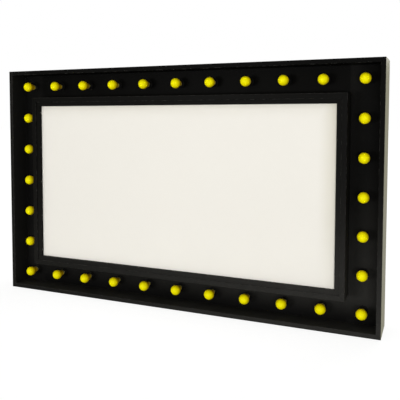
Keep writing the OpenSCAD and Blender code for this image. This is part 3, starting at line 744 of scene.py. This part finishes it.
def ring_tree():
    """Geometry Nodes: copies of a piece along the four sides of an upright rectangle, turned inwards"""
    tree = bpy.data.node_groups.new("copies_round_a_rectangle", "GeometryNodeTree")
    kinds = {
        "Copy": "Object", "Row Count": "Int", "Row Half Length": "Float", "Row Offset": "Float",
        "Column Count": "Int", "Column Half Length": "Float", "Column Offset": "Float",
        "Centre": "Vector", "Spin": "Float", "Seed": "Int", "Material": "Material",
    }
    inputs = {}
    for label, kind in kinds.items():
        socket = tree.interface.new_socket(label, in_out="INPUT", socket_type="NodeSocket" + kind)
        inputs[label] = socket.identifier
    tree.interface.new_socket("Geometry", in_out="OUTPUT", socket_type="NodeSocketGeometry")
    ring = Nodes(tree)
    outputs = ring.node("NodeGroupInput", {}, {}).socket.node.outputs
    given = {label: Value(ring, outputs[label]) for label in kinds}
    copy = ring.node("GeometryNodeObjectInfo", {}, {"Object": given["Copy"]}, "Geometry")
    draw = {RANDOM_LARGEST: given["Spin"], "Seed": given["Seed"]}
    spin = ring.node("FunctionNodeRandomValue", {"data_type": "FLOAT"}, draw, RANDOM_RESULT)
    about_y = ring.node("ShaderNodeCombineXYZ", {}, {"Y": spin})
    turn = ring.node("FunctionNodeEulerToRotation", {}, {0: about_y})

    def opposite_sides(name, quarter):
        half, low = given[name + " Half Length"], -1.0 * given[name + " Offset"]
        start = ring.node("ShaderNodeCombineXYZ", {}, {"X": -1.0 * half, "Z": low})
        end = ring.node("ShaderNodeCombineXYZ", {}, {"X": half, "Z": low})
        ends = {"Count": given[name + " Count"], "Start Location": start, "Offset": end}
        line = ring.node("GeometryNodeMeshLine", {"mode": "END_POINTS"}, ends)
        placing = {"Points": line, "Instance": copy, "Rotation": turn}
        copies = ring.node("GeometryNodeInstanceOnPoints", {}, placing)
        pair = []
        for turns in (quarter, quarter + 2):
            turned = {"Geometry": copies, "Rotation": Euler((0, turns * QUARTER_TURN, 0))}
            pair.append(ring.node("GeometryNodeTransform", {}, turned))
        return pair

    sides = opposite_sides("Row", 0) + opposite_sides("Column", 1)
    whole = ring.node("GeometryNodeJoinGeometry", {}, {0: sides})
    placed = ring.node("GeometryNodeTransform", {}, {"Geometry": whole, "Translation": given["Centre"]})
    real = ring.node("GeometryNodeRealizeInstances", {}, {"Geometry": placed})
    painted = ring.node("GeometryNodeSetMaterial", {}, {"Geometry": real, "Material": given["Material"]})
    ring.node("NodeGroupOutput", {}, {0: painted})
    return tree, inputs


def ring_of_copies(name, shape, material, row, column, centre, spin=0.0, seed=0):
    """Runs the tree on one shape. Row and column are (count, half length, offset). Returns a plain mesh."""
    tree, inputs = ring_tree()
    model = bpy.data.objects.new(name + "_model", as_mesh(shape, name + "_model"))
    carrier = bpy.data.objects.new(name + "_carrier", bpy.data.meshes.new(name + "_carrier"))
    for holder in (model, carrier):
        bpy.context.scene.collection.objects.link(holder)
    modifier = carrier.modifiers.new("copies", "NODES")
    modifier.node_group = tree
    settings = {"Copy": model, "Centre": [float(part) for part in centre]}
    settings.update({"Spin": spin, "Seed": seed, "Material": material})
    for label, values in (("Row", row), ("Column", column)):
        settings.update(zip((label + " Count", label + " Half Length", label + " Offset"), values))
    for label, value in settings.items():
        modifier[inputs[label]] = value
    ready = carrier.evaluated_get(bpy.context.evaluated_depsgraph_get())
    mesh = bpy.data.meshes.new_from_object(ready)
    mesh.name = name
    if not mesh.polygons:
        raise RuntimeError("no copies were made for " + name)
    for holder in (carrier, model):
        spare = holder.data
        bpy.data.objects.remove(holder)
        bpy.data.meshes.remove(spare)
    bpy.data.node_groups.remove(tree)
    return mesh


def pin_head():
    """A small domed pin head on a face that looks up"""
    radius = sizes().bead_pin_diameter / 2
    shank, lip, top = SHANK_SHARE * radius, -HEAD_LIP * radius, DOME_RISE * radius
    dome = [(radius * math.cos(angle), top * math.sin(angle)) for angle in DOME_ANGLES]
    below = [(0, -PIN_DEPTH * radius), (shank, -PIN_DEPTH * radius), (shank, lip), (radius, lip)]
    pin = bmesh.new()
    lathe(pin, below + dome + [(0, top)], PIN_STEPS)
    return pin


def cross_outline():
    """A cross of four arms, one arm after the other"""
    arm, reach = CROSS_ARM, CROSS_REACH
    corner = [(reach, -arm), (reach, arm), (arm, arm)]
    turns = [(1, 0), (0, 1), (-1, 0), (0, -1)]
    return [(x * cosine - y * sine, x * sine + y * cosine) for cosine, sine in turns for x, y in corner]


def bridge(shape, first, second):
    """Joins two loops of equally many points by a band of faces"""
    for step in range(len(first)):
        following = (step + 1) % len(first)
        shape.faces.new((first[step], first[following], second[following], second[step]))


def screw_head():
    """A countersunk screw with a cross recess, pointing along -Y, its face at Y = 0"""
    size = sizes()
    radius, end = size.screw_diameter / 2, -size.screw_length
    screw = bmesh.new()
    rim = [screw.verts.new(point) for point in round_points(radius, 0, SCREW_STEPS)]
    mouth = [screw.verts.new((x, y, 0)) for x, y in cross_outline()]
    floor = [screw.verts.new((CROSS_TAPER * x, CROSS_TAPER * y, -CROSS_DEPTH)) for x, y in cross_outline()]
    face_edges = []
    for loop in (rim, mouth):
        face_edges += [screw.edges.new(pair) for pair in zip(loop, loop[1:] + loop[:1])]
    bmesh.ops.triangle_fill(screw, use_beauty=True, use_dissolve=False, edges=face_edges)
    bridge(screw, mouth, floor)
    screw.faces.new(floor)
    shank = [(SHANK_RADIUS, SHANK_RADIUS - radius), (SHANK_RADIUS, end + POINT_LENGTH), (POINT_RADIUS, end)]
    last = rim
    for reach, height in shank:
        ring = [screw.verts.new(point) for point in round_points(reach, height, SCREW_STEPS)]
        bridge(screw, last, ring)
        last = ring
    screw.faces.new(last)
    bmesh.ops.transform(screw, matrix=Matrix.Rotation(-QUARTER_TURN, 4, "X"), verts=screw.verts)
    return screw


class MARQUEE_OT_boards(bpy.types.Operator):
    """Paint the case, surround, beads, lamp boards and rails; leave the back cover and battens bare"""
    bl_idname = "marquee.boards"
    bl_label = "Paint the boards"

    def execute(self, context):
        case_mitre = (HIGHEST.x - LOWEST.x - HIGHEST.z + LOWEST.z) / 2
        across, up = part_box("surround_top"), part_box("surround_left")
        inner_mitre = (across[1].x - across[0].x - up[1].z + up[0].z) / 2
        case = board_paint("case_paint", case_mitre, varnish=0.45, specular=0.018)
        inner = board_paint("surround_paint", inner_mitre)
        # On the lamp boards the painted light thins out below the surround as painted shade
        flat = board_paint("board_paint", specular=0.018, shaded_below=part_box("surround_bottom")[0].z)
        for side in SIDES:
            dress(case, "case_" + side)
            dress(inner, "surround_" + side, "bead_" + side)
            dress(flat, "lamp_board_" + side)
        dress(flat, "hanging_rails")
        dress(bare_hardboard(), "back_cover")
        dress(bare_timber(), "battens")
        return {"FINISHED"}


class MARQUEE_OT_panel(bpy.types.Operator):
    """Finish the white display panel"""
    bl_idname = "marquee.panel"
    bl_label = "Finish the display panel"

    def execute(self, context):
        dress(panel_white(), "display_panel")
        return {"FINISHED"}


class MARQUEE_OT_lamps(bpy.types.Operator):
    """Make the ball lamps, each on its own body"""
    bl_idname = "marquee.lamps"
    bl_label = "Make the lamps"

    def execute(self, context):
        look = colours()
        brass = metal("lamp_cap_brass", look.cap_brass, rough=0.42, scale=900, metallic=0.35)
        finishes = [lamp_glass(), brass, moulded("lamp_base_black", look.plastic, rough=0.25)]
        pattern = as_mesh(lamp_shape(), "lamp_pattern", finishes, sharp=40)
        forward = Matrix.Rotation(QUARTER_TURN, 4, "X")
        for node, place in LAMP_PLACES.items():
            mesh = pattern.copy()
            mesh.name = node + "_look"
            mesh.transform(Matrix.Translation((place.x, LAMP_END_Y, place.z)) @ forward)
            lamp = add_piece(node + "_look", mesh, node)
            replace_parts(lamp, node)
        bpy.data.meshes.remove(pattern)
        return {"FINISHED"}


class MARQUEE_OT_lampholders(bpy.types.Operator):
    """Smooth copy of the lampholders in moulded black"""
    bl_idname = "marquee.lampholders"
    bl_label = "Finish the lampholders"

    def execute(self, context):
        holders = bmesh.new()
        holders.from_mesh(frame["nodes"]["lampholders"].data)
        bmesh.ops.remove_doubles(holders, verts=holders.verts, dist=0.001 * MM)
        mesh = bpy.data.meshes.new("lampholders_look")
        holders.to_mesh(mesh)
        holders.free()
        black = moulded("holder_black", times(colours().plastic, 0.45), rough=0.58, specular=0.05)
        mesh.materials.clear()
        mesh.materials.append(black)
        smooth_by_angle(mesh, 32)
        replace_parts(add_piece("lampholders_look", mesh, SIGN), "lampholders")
        return {"FINISHED"}


class MARQUEE_OT_bead_pins(bpy.types.Operator):
    """Pin heads along the inner faces of the beads"""
    bl_idname = "marquee.bead_pins"
    bl_label = "Pin the beads"

    def execute(self, context):
        pitch = sizes().bead_pin_spacing
        half = (WINDOW_HIGH - WINDOW_LOW) / 2
        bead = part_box("bead_left")
        centre = (0, (bead[0].y + bead[1].y) / 2, MIDDLE_Z)
        steel = metal("pin_steel", colours().steel, rough=0.3, scale=700)
        along, up = int(half.x / pitch), int(half.z / pitch)
        row = (2 * along + 1, along * pitch, half.z)
        column = (2 * up + 1, up * pitch, half.x)
        mesh = ring_of_copies("bead_pins", pin_head(), steel, row, column, centre)
        add_piece("bead_pins", mesh, SIGN)
        return {"FINISHED"}


class MARQUEE_OT_screws(bpy.types.Operator):
    """Cross-head screws in the back cover, each turned its own way"""
    bl_idname = "marquee.screws"
    bl_label = "Make the screws"

    def execute(self, context):
        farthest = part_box("cover_screws")[1]
        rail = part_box("hanging_rails")
        rim = sizes().screw_diameter / 2
        steel = metal("screw_zinc", colours().steel, rough=0.34, scale=800)
        column_x, row_z = farthest.x - rim, farthest.z - rim - MIDDLE_Z
        row = (SCREWS_IN_ROW, column_x - SCREW_INSET, row_z)
        column = (SCREWS_IN_COLUMN, rail[1].z - MIDDLE_Z + SCREW_INSET, column_x)
        centre = (0, COVER_BACK_Y, MIDDLE_Z)
        head = screw_head()
        mesh = ring_of_copies("cover_screws_look", head, steel, row, column, centre, FULL_TURN, SCREW_SEED)
        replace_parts(add_piece("cover_screws_look", mesh, SIGN), "cover_screws")
        return {"FINISHED"}


class MARQUEE_OT_fittings(bpy.types.Operator):
    """Switch, inlet, inserts and wiring"""
    bl_idname = "marquee.fittings"
    bl_label = "Finish the fittings"

    def execute(self, context):
        look = colours()
        low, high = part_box("mains_inlet")
        middle = (low + high) / 2
        root = Vector((middle.x, high.y - BLADE_ROOT, middle.z))
        front = Vector((middle.x, high.y + BLADE_FRONT, middle.z))
        blades = (root - BLADE_REACH, front + BLADE_REACH)
        dress(moulded("fitting_black", look.plastic, rough=0.38), "switch_body", "terminal_block")
        dress(moulded("inlet_black", look.plastic, rough=0.38, contacts=blades), "mains_inlet")
        dress(moulded("rocker_black", look.plastic, rough=0.22, specular=0.5), "rocker")
        dress(moulded("cable_black", times(look.plastic, 1.6), rough=0.55, specular=0.3), "wiring")
        dress(metal("insert_brass", look.brass, rough=0.3, scale=600), "threaded_inserts")
        self.mark_rocker(look)
        return {"FINISHED"}

    def mark_rocker(self, look):
        """A bar and a ring printed on the two halves of the rocker"""
        tip = math.radians(ROCKER_SWING / 2)
        rise = MARK_REACH * math.tan(tip) + MARK_RISE
        marks = bmesh.new()
        for side, part in ((-1, self.bar()), (1, self.ring())):
            slope = Matrix.Translation((0, side * MARK_REACH, rise)) @ Matrix.Rotation(side * tip, 4, "X")
            bmesh.ops.transform(part, matrix=slope, verts=part.verts)
            merge(marks, part)
        backwards = Matrix.Rotation(-tip, 4, "X") @ Matrix.Rotation(-QUARTER_TURN, 4, "X")
        rest = Matrix.Translation(ROCKER_PIVOT) @ backwards
        bmesh.ops.transform(marks, matrix=rest, verts=marks.verts)
        white = moulded("mark_white", times(look.panel, 0.9), rough=0.4)
        add_piece("rocker_marks", as_mesh(marks, "rocker_marks", [white]), "rocker")

    def bar(self):
        part = bmesh.new()
        size = Matrix.Diagonal((BAR_WIDTH, BAR_LENGTH, 2 * MARK_HALF_THICK, 1))
        bmesh.ops.create_cube(part, size=1, matrix=size)
        bmesh.ops.bevel(part, geom=part.edges[:], offset=BAR_BEVEL, segments=1, affect="EDGES")
        return part

    def ring(self):
        part = bmesh.new()
        low, high = -MARK_HALF_THICK, MARK_HALF_THICK
        section = [(RING_INSIDE, low), (RING_OUTSIDE, low), (RING_OUTSIDE, high), (RING_INSIDE, high)]
        lathe(part, section, RING_STEPS, closed=True)
        return part


class MARQUEE_OT_stage(bpy.types.Operator):
    """Pale floor, white surroundings, soft lights and the camera"""
    bl_idname = "marquee.stage"
    bl_label = "Set the stage"

    def execute(self, context):
        scene = context.scene
        scene.view_settings.view_transform = "Standard"
        self.floor(scene)
        self.surroundings(scene)
        for name, (place, target, size, watts) in LIGHTS.items():
            self.light(scene, name, place, target, size, watts)
        self.camera(scene)
        return {"FINISHED"}

    def floor(self, scene):
        disc = bmesh.new()
        bmesh.ops.create_circle(disc, cap_ends=True, radius=FLOOR_RADIUS, segments=FLOOR_STEPS)
        mesh = bpy.data.meshes.new("floor")
        disc.to_mesh(mesh)
        disc.free()
        mesh.materials.append(self.floor_pale())
        floor = bpy.data.objects.new("floor", mesh)
        floor.location.z = -FLOOR_DROP
        scene.collection.objects.link(floor)

    def floor_pale(self):
        """A matt floor that keeps the object's shadow and is nearly white where it is seen"""
        pale = Finish("floor_pale", Specular_IOR_Level=0.0, Roughness=0.9)
        place = pale.place()
        pale.feed(Base_Color=pale.blend(pale.noise(place, scale=0.8), *FLOOR_SHADES))
        glow = pale.node("ShaderNodeEmission", {}, {"Color": pale.room_white(), "Strength": FLOOR_GLOW})
        away = pale.node("ShaderNodeVectorMath", {"operation": "LENGTH"}, {0: place}, "Value")
        share = pale.shown() * pale.ease(away, GLOW_NEAR, GLOW_FAR, GLOW_SHARE_NEAR, GLOW_SHARE_FAR)
        return pale.finish(pale.node("ShaderNodeMixShader", {}, {0: share, 1: pale.surface, 2: glow}))

    def surroundings(self, scene):
        world = bpy.data.worlds.new("white_room")
        scene.world = world
        world.use_nodes = True
        room = Nodes(world.node_tree)
        lit = room.node("ShaderNodeBackground", {}, {"Color": ROOM_COLOUR, "Strength": ROOM_LIGHT})
        white = room.node("ShaderNodeBackground", {}, {"Color": room.room_white(), "Strength": 1.0})
        mix = room.node("ShaderNodeMixShader", {}, {0: room.shown(), 1: lit, 2: white})
        room.node("ShaderNodeOutputWorld", {}, {"Surface": mix})

    def light(self, scene, name, place, target, size, watts):
        lamp = bpy.data.lights.new(name, "AREA")
        lamp.shape = "RECTANGLE"
        lamp.size, lamp.size_y = size
        lamp.energy = watts
        lamp.color = LIGHT_COLOUR
        holder = bpy.data.objects.new(name, lamp)
        holder.location = place
        holder.rotation_euler = (Vector(target) - Vector(place)).to_track_quat("-Z", "Y").to_euler()
        scene.collection.objects.link(holder)

    def camera(self, scene):
        lens = bpy.data.cameras.new("photo_camera")
        lens.sensor_width = SENSOR_MM
        lens.lens = LENS_MM
        lens.shift_x = SHIFT_X
        lens.shift_y = SHIFT_Y
        lens.clip_end = VIEW_END
        camera = bpy.data.objects.new("photo_camera", lens)
        camera.location = CAMERA_PLACE
        camera.rotation_euler = (CAMERA_TILT, 0, CAMERA_TURN)
        scene.collection.objects.link(camera)
        scene.camera = camera


class MARQUEE_PT_sidebar(bpy.types.Panel):
    """Lists the steps and the sizes and colours that they use"""
    bl_idname = "MARQUEE_PT_sidebar"
    bl_label = "Marquee sign"
    bl_space_type = "VIEW_3D"
    bl_region_type = "UI"
    bl_category = "Marquee"

    def draw(self, context):
        for step in STEPS:
            self.layout.operator(step.bl_idname)
        for group in (context.scene.marquee_sizes, context.scene.marquee_colours):
            for name in group.__annotations__:
                self.layout.prop(group, name)


STEPS = (
    MARQUEE_OT_boards, MARQUEE_OT_panel, MARQUEE_OT_lamps, MARQUEE_OT_lampholders, MARQUEE_OT_bead_pins,
    MARQUEE_OT_screws, MARQUEE_OT_fittings, MARQUEE_OT_stage,
)
CLASSES = (SignSizes, SignColours) + STEPS + (MARQUEE_PT_sidebar,)


def register():
    for cls in CLASSES:
        bpy.utils.register_class(cls)
    bpy.types.Scene.marquee_sizes = PointerProperty(type=SignSizes)
    bpy.types.Scene.marquee_colours = PointerProperty(type=SignColours)


def unregister():
    del bpy.types.Scene.marquee_colours
    del bpy.types.Scene.marquee_sizes
    for cls in reversed(CLASSES):
        bpy.utils.unregister_class(cls)


def main():
    register()
    bpy.ops.marquee.boards()
    bpy.ops.marquee.panel()
    bpy.ops.marquee.lamps()
    bpy.ops.marquee.lampholders()
    bpy.ops.marquee.bead_pins()
    bpy.ops.marquee.screws()
    bpy.ops.marquee.fittings()
    bpy.ops.marquee.stage()
    bpy.context.view_layer.update()


if __name__ == "__main__":
    main()
